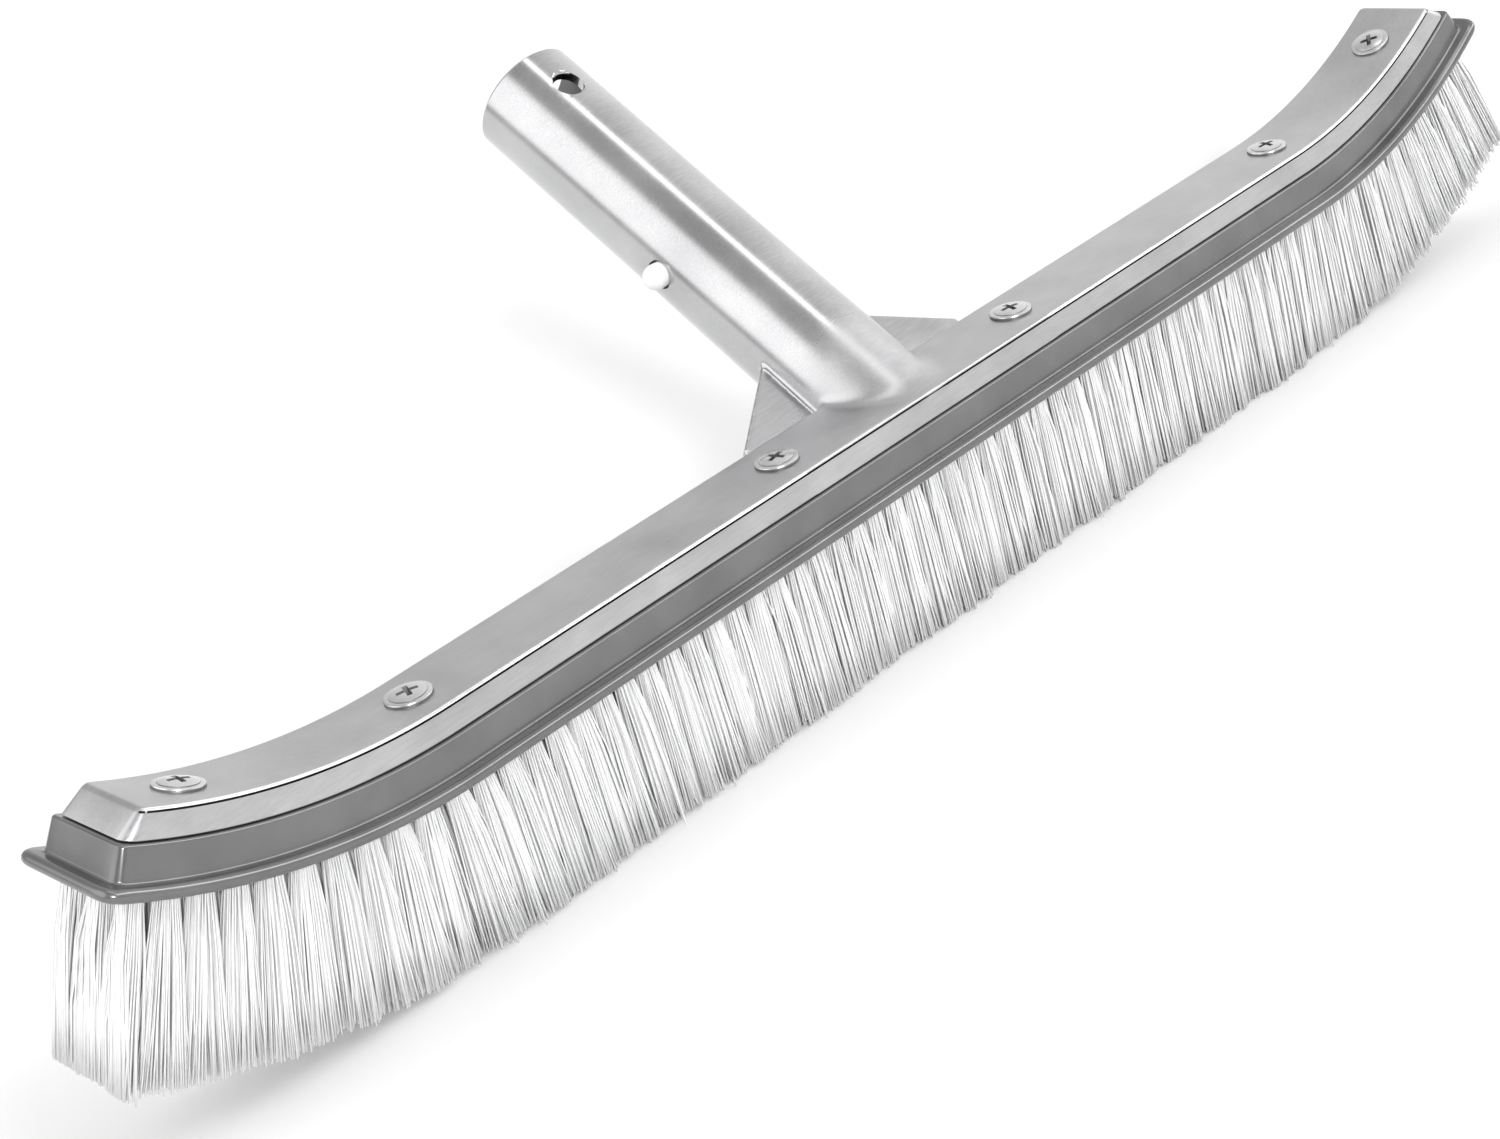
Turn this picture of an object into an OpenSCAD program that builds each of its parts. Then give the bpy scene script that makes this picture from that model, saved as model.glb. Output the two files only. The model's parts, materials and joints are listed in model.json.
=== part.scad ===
// Curved pool wall brush: cast aluminium back with a pole socket, plastic
// block, five rows of nylon tufts and a spring clip with two snap buttons.
// +X runs along the brush, -Y is the front, +Y is the handle side, +Z is up.
// The origin is the middle of the plane that the bristle tips touch.

/* [Brush] */
// Height of the back's top face above the bristle tips
brush_h = 53.4; // [50:0.1:60]
// Half length of the straight middle stretch
straight_half = 145; // [120:1:160]
// Bend radius of the back's top face at both ends
bend_r = 145; // [110:1:180]

/* [Back] */
// Half width of the back's flat top
top_half_w = 10.45; // [9:0.05:12]
// Half width of the back at its lower edge
skirt_half_w = 12; // [11.4:0.05:12.4]
// Depth of the back's sloping skirt
skirt_h = 5.8; // [5:0.1:7]
// Wall thickness of the back
back_wall = 2; // [1.6:0.1:2.4]
// Length from the middle to the back's end, along the bend
back_end_s = 216.4; // [205:0.1:217.4]

/* [Block] */
// Half width of the block under the back
block_half_w = 12.7; // [12.6:0.05:13]
// Half width of the block where it meets the rim
block_foot_half_w = 13.3; // [13.1:0.05:14]
// Half width over the rounded rim
rim_half_w = 16.8; // [16:0.1:18]
// Thickness of the rounded rim
rim_t = 2.8; // [2.4:0.1:3.2]
// Depth from the back's top face to the underside of the block
block_depth = 15.8; // [15:0.1:17]
// Length from the middle to the rim's end, along the bend
block_end_s = 222.6; // [219:0.1:226]

/* [Bristles] */
// Number of tuft rows
row_count = 5; // [5:5]
// Distance between rows
row_pitch = 4.8; // [4.6:0.1:5]
// Distance between tufts in a row, along the bend
tuft_pitch = 6.48; // [6:0.02:7.5]
// Radius of a drilled tuft hole
tuft_hole_r = 1.7; // [1.5:0.05:1.8]
// Depth of a drilled tuft hole
tuft_hole_depth = 6.5; // [5:0.1:7]
// Length from the middle to the centre of the last tuft
last_tuft_s = 213.9; // [204:0.1:215]

/* [Handle] */
// Outside radius of the socket that a telescopic pole slides over
tube_r = 14.3; // [14:0.05:14.6]
// Bore radius of the socket
tube_bore_r = 11.9; // [11.6:0.05:12]
// Angle of the socket above the back
tube_angle = 36.15; // [34:0.05:40]
// Distance behind the middle at which the socket's axis meets the back's top face
tube_y = 18.2; // [17:0.1:20]
// Length of the socket from that point to its mouth
tube_len = 111.4; // [105:0.1:120]
// Distance along the socket to the snap buttons
button_t = 47.6; // [46:0.1:48]
// Distance along the socket to the cross hole
cross_hole_t = 98.4; // [92:0.1:100]
// Radius of the cross hole
cross_hole_r = 3.75; // [3:0.05:4]

/* [Clip] */
// Radius of a snap button
button_r = 3.15; // [3:0.05:3.2]
// How far a snap button stands out of the socket
button_proud = 4.2; // [3:0.1:4.4]
// Radius of the hole that a snap button works in
button_hole_r = 3.6; // [3.55:0.05:3.8]
// Width of the spring strip
strip_w = 8; // [6:0.5:8]
// Thickness of the spring strip
strip_t = 0.8; // [0.6:0.1:0.8]

/* [Screws] */
// Radius of a screw's head
head_r = 5.1; // [4.5:0.1:5.4]
// Height of a screw's head above the back
head_h = 1.5; // [1.2:0.1:2]
// Major radius of a screw's thread
thread_r = 2.1; // [1.8:0.05:2.2]
// Length of a screw below the back's top face
screw_len = 8.8; // [8:0.1:8.9]

/* [Hidden] */
$fn = 64;

eps = 0.01;                 // overlap that makes joined solids share volume
join_overlap = 0.4;         // how far an end piece reaches back into the bend
join_grow = 0.02;           // how much fuller an end piece is than the bend
shoulder_r = 0.9;           // rounding of the block's upper edge
cove_r = 0.8;               // hollow between the block's side and its rim
fit_gap = 0.1;              // gap between parts that are screwed together
arc_steps = 4;              // straight steps in each rounded stretch of an outline
screw_s = [-199.7, -146.9, -40.8, 40.8, 146.9, 199.7];   // along the bend
back_corner_r = 3;          // plan radius of the back's corners, at the lower edge
cavity_corner_r = 2.2;      // plan radius of the corners of the hollow in the back
rib_corner_r = 2;           // plan radius of the corners of the rib that fills it
rim_corner_r = 6;           // plan radius of the rim's corners
edge_r = 0.6;               // rounding of the back's top edge
strip_half_w = 1.9;         // half width of one row of bristles
strip_overhang = 2.4;       // how far a row reaches beyond the middle of its last tuft
tip_flare = 2;              // how far the outer rows spread at their tips
screw_hole_r = thread_r + 0.3;
screw_bite = 0.02;          // clearance round a screw's thread in the block
seat_gap = 0.3;             // clearance round a screw's head in its seat
seat_n = 0.01;              // height of a seat's floor above the back's top face
head_n = 0.02;              // height of a screw's head above the back's top face
head_edge_h = 0.5;          // thickness of a screw's head at its edge
head_crown = 1.5;           // how much flatter a head is than a cap of its height
teeth = 6;                  // turns of a screw's thread
thread_h = 0.45;            // depth of the thread
thread_start = 1.5;         // depth at which the thread starts
point_h = 1.4;              // length of a screw's point
recess_turn = 30;
recess_len = 5.4;           // size of the bars of a cross recess
recess_w = 1.1;
recess_h = 1.4;
taper_end_t = 54.5;         // the socket is parallel outboard of this
taper_growth = 0.35;        // how much its radius grows from there to its foot
foot_t = -6;                // where the socket is cut off behind the back
root_t = -22;               // how far its upper half runs down into the back
bore_bottom_t = 1.2;
mouth_chamfer = 0.8;
web_t = 2.4;                // thickness of the webs beside the socket
web_top_t = 12.8;           // where a web leaves the socket's side
web_foot = [36.9, -3.6];    // outer corner of a web: across, along the socket
web_end_t = -8.6;
web_foot_flare = 0.8;       // how much wider a web is at its cut-off end
web_overlap = 0.7;          // how far a web's top reaches into the socket's wall
socket_clear_w = 60;        // half width of the space kept clear over the block
socket_gap = 2;             // how far that space reaches behind the block
hinge_t = 12;               // where the clip's legs begin to flex
leaf_x = 9.5;               // distance of a leg's middle plane from the axis
leaf_gap = 0.1;
leaf_end_t = 54;
collar_r = 4.4;
collar_t = 0.8;
rivet_r = 1.5;
rivet_head_r = 2.4;
rivet_head_t = 0.6;
anchor_w = 3.8;             // an anchor bites into both sides of its tuft hole
anchor_h = 2;
anchor_t = 0.5;

skirt_slope = (skirt_half_w - top_half_w) / skirt_h;

// Points of an arc, for rounded corners in an outline.
function arc(c, r, from, to) = [
    for (i = [0 : arc_steps])
        let (a = from + (to - from) * i / arc_steps)
            [c[0] + r * cos(a), c[1] + r * sin(a)]
];

// Left half of an outline, as the mirror image of the right half.
function mirrored(pts) = [
    for (i = [len(pts) - 1 : -1 : 0]) [-pts[i][0], pts[i][1]]
];

// Right half of the back's outline, from the top face to the lower edge. Each
// outline takes grow, which moves all of it outwards by that much.
function back_outline(grow) = concat(
    arc([top_half_w - edge_r, -edge_r], edge_r + grow, 90, 15),
    [[skirt_half_w + grow, -skirt_h - grow]]
);

side_wall_extra = 0.07;     // makes the side walls back_wall thick, measured square to them
cavity_top_w = top_half_w - back_wall + skirt_slope * back_wall - side_wall_extra;
cavity_foot_w = cavity_top_w + skirt_slope * (skirt_h - back_wall + 1);
function cavity_outline(grow) = [
    [cavity_top_w + grow, -back_wall + grow],
    [cavity_foot_w + grow, -skirt_h - 1 - grow]
];

rib_foot_w = cavity_foot_w - skirt_slope - fit_gap;
function rib_outline(grow) = [
    [cavity_top_w - fit_gap + grow, -back_wall - fit_gap + grow],
    [rib_foot_w + grow, -skirt_h - rim_r - grow]
];

// Right half of the block's outline, from its ledge round the rim.
rim_r = rim_t / 2;
rim_top = -block_depth + rim_t;
function block_outline(grow) = concat(
    arc([block_half_w - shoulder_r, -skirt_h - fit_gap - shoulder_r], shoulder_r + grow, 90, 5),
    arc([block_foot_half_w + cove_r, rim_top + cove_r], cove_r - grow, 180, 270),
    arc([rim_half_w - rim_r, rim_top - rim_r], rim_r + grow, 90, -90)
);

// Degrees of bend at a distance s along the brush.
function bend_at(s) = max(abs(s) - straight_half, 0) / bend_r * 180 / PI;

// Puts its children at a distance s along the brush, on the back's top face:
// x runs along the brush there and z is square to the top face.
module on_spine(s) {
    side = s < 0 ? -1 : 1;
    x = side * (min(abs(s), straight_half) + bend_r * sin(bend_at(s)));
    translate([x, 0, brush_h + bend_r * (1 - cos(bend_at(s)))])
        rotate([0, -side * bend_at(s), 0])
            children();
}

// Carries an outline (across, height above the top face) along the brush.
module along_brush(end_s) {
    translate([-straight_half, 0, brush_h])
        rotate([90, 0, 90])
            linear_extrude(2 * straight_half)
                children();
    for (side = [0, 1])
        mirror([side, 0, 0])
            translate([-straight_half, 0, brush_h + bend_r])
                rotate([-90, 90, 0])
                    rotate_extrude(angle = bend_at(end_s), $fn = 180)
                        translate([bend_r, 0])
                            rotate(90)
                                children();
}

// A long body with its side outline carried round both rounded ends. Its end
// pieces, in the fuller outline, overlap the bend a little so that they join it.
module rounded_body(half, fuller, half_w, end_s, corner_r) {
    flat_s = end_s - corner_r;
    core_w = half_w - corner_r;
    side = [
        for (p = concat([[core_w - join_overlap, fuller[0][1]]], fuller,
                        [[core_w - join_overlap, fuller[len(fuller) - 1][1]]]))
            [p[0] - core_w, p[1]]
    ];
    along_brush(flat_s)
        polygon(concat(half, mirrored(half)));
    for (turn = [0, 1])
        mirror([turn, 0, 0])
            on_spine(flat_s) {
                translate([0, core_w, 0])
                    rotate([90, 0, 0])
                        linear_extrude(2 * core_w)
                            polygon(side);
                for (corner = [0, 1])
                    mirror([0, corner, 0])
                        translate([0, core_w, 0])
                            rotate_extrude(angle = 90)
                                polygon([for (p = side) [max(p[0], 0), p[1]]]);
            }
}

// Puts its children on the socket's axis: z runs out along the socket,
// x is across the brush, and -y faces up and forward.
module on_socket(t = 0) {
    translate([0, tube_y, brush_h])
        rotate([tube_angle - 90, 0, 0])
            translate([0, 0, t])
                children();
}

function taper_r(t) = tube_r + taper_growth * (taper_end_t - t) / (taper_end_t - foot_t);

module taper(from_t, to_t) {
    on_socket(from_t)
        cylinder(r1 = taper_r(from_t), r2 = taper_r(to_t), h = to_t - from_t);
}

// The socket's foot is cut off square behind the back, but what lies above the
// middle of the back's wall runs on down into it.
module socket_outside() {
    difference() {
        taper(root_t, taper_end_t);
        intersection() {
            on_socket(foot_t - 4 * tube_r)
                translate([-2 * tube_r, -2 * tube_r, 0])
                    cube(4 * tube_r);
            translate([-2 * tube_r, -3 * tube_r, brush_h - back_wall / 2 - 4 * tube_r])
                cube([4 * tube_r, 6 * tube_r, 4 * tube_r]);
        }
    }
    on_socket(taper_end_t)
        cylinder(r = tube_r, h = tube_len - taper_end_t - mouth_chamfer);
    on_socket(tube_len - mouth_chamfer)
        cylinder(r1 = tube_r, r2 = tube_r - mouth_chamfer, h = mouth_chamfer);
}

// Flat triangular webs in the plane of the casting's parting line.
module webs() {
    on_socket()
        rotate([90, 0, 0])
            linear_extrude(web_t, center = true)
                polygon([
                    [-web_foot[0] - web_foot_flare, web_end_t],
                    [-web_foot[0], web_foot[1]],
                    [-tube_r + 1, web_top_t + web_overlap],
                    [tube_r - 1, web_top_t + web_overlap],
                    [web_foot[0], web_foot[1]],
                    [web_foot[0] + web_foot_flare, web_end_t]
                ]);
}

module socket_cuts() {
    on_socket(bore_bottom_t)
        cylinder(r = tube_bore_r, h = tube_len);
    on_socket(tube_len - mouth_chamfer)
        cylinder(r1 = tube_bore_r, r2 = tube_bore_r + mouth_chamfer + eps, h = mouth_chamfer + eps);
    on_socket(button_t)
        rotate([0, 90, 0])
            cylinder(r = button_hole_r, h = 3 * tube_r, center = true);
    on_socket(cross_hole_t)
        rotate([90, 0, 0]) {
            cylinder(r = cross_hole_r, h = 3 * tube_r, center = true);
            for (side = [0, 1])
                mirror([0, 0, side])
                    translate([0, 0, tube_r - mouth_chamfer])
                        cylinder(r1 = cross_hole_r, r2 = cross_hole_r + 1, h = 1);
        }
}

module back_casting() {
    color("silver")
        difference() {
            union() {
                rounded_body(back_outline(0), back_outline(join_grow), skirt_half_w, back_end_s,
                             back_corner_r);
                socket_outside();
                webs();
            }
            rounded_body(cavity_outline(0), cavity_outline(join_grow), cavity_foot_w,
                         back_end_s - skirt_half_w + cavity_foot_w, cavity_corner_r);
            // nothing hangs below the back's lower edge where the block is
            translate([-socket_clear_w, -skirt_half_w, brush_h - skirt_h - rim_r])
                cube([2 * socket_clear_w, skirt_half_w + block_half_w + socket_gap, rim_r]);
            socket_cuts();
            for (s = screw_s)
                on_spine(s)
                    translate([0, 0, -back_wall - 1])
                        cylinder(r = screw_hole_r, h = back_wall + 2);
            // flat seats for the screws where the top face bends
            for (s = screw_s)
                if (abs(s) > straight_half)
                    on_spine(s)
                        translate([0, 0, seat_n])
                            cylinder(r = head_r + seat_gap, h = back_wall);
        }
}

module rib() {
    rounded_body(rib_outline(0), rib_outline(join_grow), rib_foot_w,
                 back_end_s - skirt_half_w + rib_foot_w, rib_corner_r);
}

function row_y(row) = (row - (row_count + 1) / 2) * row_pitch;

// Odd rows have a tuft at the middle, even rows are staggered by half a pitch.
function tuft_places(row) =
    let (shift = row % 2 == 1 ? 0 : tuft_pitch / 2)
        let (side_count = floor((last_tuft_s - shift) / tuft_pitch))
            [for (i = [(shift == 0 ? -side_count : -side_count - 1) : side_count])
                i * tuft_pitch + shift];

module at_tufts(row) {
    for (s = tuft_places(row))
        on_spine(s)
            translate([0, row_y(row), -block_depth])
                children();
}

module brush_block() {
    color("dimgray")
        difference() {
            union() {
                rounded_body(block_outline(0), block_outline(join_grow), rim_half_w, block_end_s,
                             rim_corner_r);
                rib();
            }
            for (s = screw_s)
                on_spine(s)
                    translate([0, 0, -screw_len - fit_gap])
                        cylinder(r = thread_r + screw_bite, h = screw_len);
            for (row = [1 : row_count])
                at_tufts(row)
                    translate([0, 0, -1])
                        cylinder(r = tuft_hole_r, h = tuft_hole_depth + 1, $fn = 24);
        }
}

// Raised cross-recessed head over a threaded shank with a short point.
module screw(s) {
    crown_r = (head_r * head_r + head_h * head_h) / (2 * head_h) * head_crown;
    crown_a = asin((head_r - 0.2) / crown_r);
    pitch = (screw_len - thread_start - point_h) / teeth;
    root_r = thread_r - thread_h;
    color("gainsboro")
        on_spine(s)
            difference() {
                rotate_extrude()
                    polygon(concat(
                        [for (i = [0 : arc_steps])
                            let (a = crown_a * i / arc_steps)
                                [crown_r * sin(a), head_h - crown_r * (1 - cos(a))]],
                        [[head_r, head_edge_h], [head_r, head_n], [root_r, head_n]],
                        [for (i = [0 : teeth - 1], edge = [0, 1])
                            [edge == 0 ? root_r : thread_r,
                             -thread_start - pitch * (i + edge / 2)]],
                        [[root_r, -screw_len + point_h], [0, -screw_len]]
                    ));
                for (turn = [0, 90])
                    rotate(turn + recess_turn)
                        translate([-recess_len / 2, -recess_w / 2, head_h - recess_h])
                            cube([recess_len, recess_w, 2 * recess_h]);
            }
}

// One row of tufts as a strip below the block. The outer rows spread at their tips.
module bristle_row(row) {
    middle = row_y(row);
    front_w = strip_half_w + (row == 1 ? tip_flare : 0);
    rear_w = strip_half_w + (row == row_count ? tip_flare : 0);
    color("whitesmoke")
        along_brush(last_tuft_s + strip_overhang)
            polygon([
                [middle - strip_half_w, -block_depth],
                [middle + strip_half_w, -block_depth],
                [middle + rear_w, -brush_h],
                [middle - front_w, -brush_h]
            ]);
}

// The flat metal anchors that pin each folded tuft at the bottom of its hole.
module tuft_anchors(row) {
    color("goldenrod")
        at_tufts(row)
            translate([-anchor_w / 2, -anchor_t / 2, tuft_hole_depth - anchor_h - 0.4])
                cube([anchor_w, anchor_t, anchor_h]);
}

// The fixed bend of the U-shaped spring, at the bottom of the socket.
module clip_bight() {
    color("lightsteelblue")
        on_socket(hinge_t)
            rotate([-90, 0, 0])
                translate([0, 0, -strip_w / 2])
                    rotate_extrude(angle = 180)
                        translate([leaf_x - strip_t / 2, 0])
                            square([strip_t, strip_w]);
}

// One leg of the spring, with the hole that its button is riveted in.
module clip_leaf(side) {
    color("lightsteelblue")
        on_socket()
            difference() {
                translate([side * leaf_x - strip_t / 2, -strip_w / 2, hinge_t + leaf_gap])
                    cube([strip_t, strip_w, leaf_end_t - hinge_t - leaf_gap]);
                translate([side * leaf_x, 0, button_t])
                    rotate([0, 90, 0])
                        cylinder(r = rivet_r + 0.03, h = 4 * strip_t, center = true);
            }
}

// A snap button: domed end, collar inside the socket and riveted stem.
module clip_button(side) {
    inner_x = leaf_x + strip_t / 2;
    tip_x = tube_r + button_proud;
    color("white")
        on_socket(button_t)
            rotate([0, side * 90, 0])
                rotate_extrude()
                    polygon(concat(
                        [
                            [0, inner_x - strip_t - rivet_head_t],
                            [rivet_head_r, inner_x - strip_t - rivet_head_t],
                            [rivet_head_r, inner_x - strip_t],
                            [rivet_r, inner_x - strip_t],
                            [rivet_r, inner_x],
                            [collar_r, inner_x],
                            [collar_r, inner_x + collar_t],
                            [button_r, inner_x + collar_t]
                        ],
                        [for (i = [0 : 2 * arc_steps])
                            let (a = 45 * i / arc_steps)
                                [button_r * cos(a), tip_x - button_r + button_r * sin(a)]]
                    ));
}

back_casting();
brush_block();
screw(screw_s[0]);  // screw_1
screw(screw_s[1]);  // screw_2
screw(screw_s[2]);  // screw_3
screw(screw_s[3]);  // screw_4
screw(screw_s[4]);  // screw_5
screw(screw_s[5]);  // screw_6
bristle_row(1);  // bristle_row_1
bristle_row(2);  // bristle_row_2
bristle_row(3);  // bristle_row_3
bristle_row(4);  // bristle_row_4
bristle_row(5);  // bristle_row_5
tuft_anchors(1);  // tuft_anchors_1
tuft_anchors(2);  // tuft_anchors_2
tuft_anchors(3);  // tuft_anchors_3
tuft_anchors(4);  // tuft_anchors_4
tuft_anchors(5);  // tuft_anchors_5
clip_bight();
clip_leaf(-1);  // clip_leaf_left
clip_leaf(1);  // clip_leaf_right
clip_button(-1);  // clip_button_left
clip_button(1);  // clip_button_right
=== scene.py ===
import json
import math

import bmesh
import bpy
import numpy as np
from mathutils import Matrix, Quaternion, Vector


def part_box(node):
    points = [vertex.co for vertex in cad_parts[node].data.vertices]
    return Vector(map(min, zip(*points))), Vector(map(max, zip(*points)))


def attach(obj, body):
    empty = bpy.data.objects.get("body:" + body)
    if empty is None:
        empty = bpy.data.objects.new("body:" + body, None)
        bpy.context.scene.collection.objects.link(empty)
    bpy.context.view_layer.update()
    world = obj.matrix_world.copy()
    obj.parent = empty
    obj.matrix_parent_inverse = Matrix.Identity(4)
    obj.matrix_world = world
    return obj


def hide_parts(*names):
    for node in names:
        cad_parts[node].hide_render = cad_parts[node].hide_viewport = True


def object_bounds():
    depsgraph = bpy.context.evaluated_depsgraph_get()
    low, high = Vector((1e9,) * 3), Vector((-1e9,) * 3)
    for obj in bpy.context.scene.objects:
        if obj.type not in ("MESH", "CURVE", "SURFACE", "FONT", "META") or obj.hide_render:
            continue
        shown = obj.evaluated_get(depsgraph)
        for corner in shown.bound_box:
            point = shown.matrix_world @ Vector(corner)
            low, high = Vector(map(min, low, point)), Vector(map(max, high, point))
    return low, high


# A pool wall brush. Shapes are worked out in millimetres in the CAD frame: +X runs
# along the brush, -Y is the front, +Z is up, and the bristle tips touch z = 0.

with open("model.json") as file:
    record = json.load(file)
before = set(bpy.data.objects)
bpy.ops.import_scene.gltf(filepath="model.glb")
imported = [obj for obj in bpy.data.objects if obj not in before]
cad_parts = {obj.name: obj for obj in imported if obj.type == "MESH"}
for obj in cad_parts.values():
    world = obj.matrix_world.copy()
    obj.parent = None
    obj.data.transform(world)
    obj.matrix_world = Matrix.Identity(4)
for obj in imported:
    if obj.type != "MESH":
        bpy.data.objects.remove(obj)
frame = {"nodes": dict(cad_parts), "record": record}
cad_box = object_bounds()
RECORD = frame["record"]
MM = 0.001
rng = np.random.default_rng(41)


def mount(name):
    return next(m for m in RECORD["mounts"] if m["name"] == name)


# ---------------------------------------------------------------- sizes

pole_seat, cross_hole = mount("pole_seat"), mount("cross_hole")
AXIS = np.array(pole_seat["axis"])                       # out along the socket
ACROSS = np.array([1.0, 0.0, 0.0])
RISE = np.array([0.0, -AXIS[2], AXIS[1]])                # up and forward from the axis
TUBE_R = pole_seat["dims"]["r_mm"]
HOLE_R = cross_hole["dims"]["r_mm"]

# The back and the block. Widths are half widths, heights go down from the back's top.
block_low, block_high = (np.array(c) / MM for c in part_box("brush_block"))
BLOCK_DEPTH = 15.8
BRUSH_H = block_low[2] + BLOCK_DEPTH                     # the back's top face
STRAIGHT, BEND_R = 145.0, 145.0                          # half the straight run, then the bend
BACK_END, BLOCK_END = 216.4, 222.6
TOP_HALF_W, SKIRT_HALF_W, SKIRT_H = 10.45, 12.0, 5.8
SKIRT_SLOPE = (SKIRT_HALF_W - TOP_HALF_W) / SKIRT_H
EDGE_R, LIP_R = 0.6, 0.3                                 # of the back's top edge and of its foot
WALL = 2.0
SIDE_WALL_EXTRA = 0.07                                   # makes the skirt WALL thick, square to it
HOLLOW_HALF_W = TOP_HALF_W - WALL + SKIRT_SLOPE * WALL - SIDE_WALL_EXTRA
CREASE_TOP, CREASE_H, CREASE_DEPTH = 0.62, 0.42, 0.6     # a fine groove under the top edge
SHOULDER_HALF_W, SHOULDER_R, BLOCK_GAP = 12.7, 0.7, 0.25
FOOT_HALF_W, COVE_R = 13.3, 0.6
RIM_HALF_W, RIM_T, RIM_R = block_high[1], 2.8, 1.4
RIM_SQUARENESS = 3.0                                     # 2 is round
BACK_CORNER_R, RIM_CORNER_R = 3.0, 6.0                   # skeletons of the rounded ends
BACK_CORE, BACK_FLAT = SKIRT_HALF_W - BACK_CORNER_R, BACK_END - BACK_CORNER_R
BLOCK_CORE, BLOCK_FLAT = RIM_HALF_W - RIM_CORNER_R, BLOCK_END - RIM_CORNER_R
END_LEAN = (-1.3, 1.2)                                   # of the back's ends, top and bottom

# The socket. T is a distance along its axis from the back's top face.
SEAT = np.array(pole_seat["pos_m"]) / MM
SEAT_T = (SEAT[2] - BRUSH_H) / AXIS[2]
ORIGIN = SEAT - SEAT_T * AXIS
MOUTH_T = SEAT_T + pole_seat["dims"]["length_mm"] / 2 + 0.75
MOUTH_CHAMFER = 0.8
BORE_R, BORE_BOTTOM_T = 11.9, 1.2
FOOT_T = -6.0
TAPER_END_T, TAPER_GROWTH = 54.5, 0.35
BUTTON_T, BUTTON_HOLE_R = 47.6, 3.6
SINK = 0.5                                               # chamfer of the cross hole
CROSS_T = float((np.array(cross_hole["pos_m"]) / MM - ORIGIN) @ AXIS)
WEB_FOOT, WEB_TOP_T, WEB_END_T = (36.9, -3.6), 13.5, -8.6
WEB_FLARE = 0.8                                          # how much wider a web is at its end
WEB_HALF_T, WEB_EDGE_R = 1.2, 0.7
WEB_FILLET, ROOT_FILLET = 1.2, 2.6
CLEAR_Y = SHOULDER_HALF_W + 2.0                          # no metal over the block as far as this
ROOT_X, ROOT_T = 42.0, 26.0                              # where the socket's root ends

SCREW_S = (-199.7, -146.9, -40.8, 40.8, 146.9, 199.7)

# The bristles.
ROWS, ROW_PITCH, TUFT_PITCH, LAST_TUFT = 5, 4.8, 6.48, 213.9
FILAMENT_R, FILAMENTS, FILAMENT_SIDES, FILAMENT_RINGS = 0.21, 114, 4, 4
TUFT_R = 2.1                                             # where the tuft leaves its hole
FAN = ((3.4, 2.9), (4.5, 3.8))                           # least and most reach at the tips
STRAY_SHARE, STRAY_REACH = 0.07, 1.2
RAGGED, SHORT_SHARE, SHORTEST = 0.5, 0.05, (0.5, 2.5)    # how far tips fall short

# Light and camera, in metres and degrees. Directions point from the brush to the light.
ROOM_GLOW, PANEL_GLOW = (0.56, 1.15), 1.3
PANEL_FROM, PANEL_SPREAD = (-0.72, 0.42, 0.55), (39, 30)
STRIPS = [                                               # middle, along, reach, half width, glow
    ((0.225, -0.182, 0.954), tuple(AXIS), 24, 4.0, 2.6),
    ((0.62, -0.5, 0.6), (0.8, -0.33, 0.47), 32, 6.0, 4.5),
]
KEY_FROM, KEY_ENERGY, KEY_SPREAD = (-0.42, -0.78, 0.46), 2.3, 11
CAMERA_PLACE, CAMERA_TARGET = (-0.3739, -0.3977, 0.2744), (-0.07684, -0.02619, 0.05)
CAMERA_ROLL, LENS_MM, SENSOR_MM = -14.889, 61.6, 36.0


# ---------------------------------------------------------------- places

def on_spine(s, y, n, flat=None):
    """Points at a distance s along the brush, y across it and n above the back's top
    face. Past flat, where a rounded end begins, the spine runs on straight."""
    s, y, n = np.broadcast_arrays(np.asarray(s, float), y, n)
    side, reach = np.sign(s), np.abs(s)
    past = np.maximum(reach - flat, 0) if flat else 0 * reach
    bend = np.maximum(reach - past - STRAIGHT, 0) / BEND_R
    x = np.minimum(reach - past, STRAIGHT) + (BEND_R - n) * np.sin(bend) + past * np.cos(bend)
    x = np.where(bend > 0, x, reach)
    z = BRUSH_H + BEND_R - (BEND_R - n) * np.cos(bend) + past * np.sin(bend)
    return np.stack([side * x, y, z], -1)


def to_socket(p):
    """Across the brush, above the axis and along the axis, for points in the frame."""
    q = p - ORIGIN
    return q @ ACROSS, q @ RISE, q @ AXIS


def from_socket(x, h, t):
    return ORIGIN + x[..., None] * ACROSS + h[..., None] * RISE + t[..., None] * AXIS


# ---------------------------------------------------------------- meshes

def new_object(name, verts, faces, smooth_angle=None):
    """An object from points in millimetres and faces; arrays of quads go in fast."""
    mesh = bpy.data.meshes.new(name)
    verts = np.asarray(verts, float) * MM
    if isinstance(faces, np.ndarray):
        count, side = faces.shape
        mesh.vertices.add(len(verts))
        mesh.vertices.foreach_set("co", verts.ravel())
        mesh.loops.add(count * side)
        mesh.loops.foreach_set("vertex_index", faces.ravel().astype(np.int32))
        mesh.polygons.add(count)
        mesh.polygons.foreach_set("loop_start", np.arange(0, count * side, side, dtype=np.int32))
        mesh.update(calc_edges=True)
        mesh.validate()
    else:
        mesh.from_pydata([tuple(v) for v in verts], [], [tuple(f) for f in faces])
    mesh.polygons.foreach_set("use_smooth", np.ones(len(mesh.polygons), bool))
    if smooth_angle:
        mesh.set_sharp_from_angle(angle=math.radians(smooth_angle))
    obj = bpy.data.objects.new(name, mesh)
    bpy.context.scene.collection.objects.link(obj)
    return obj


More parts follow.
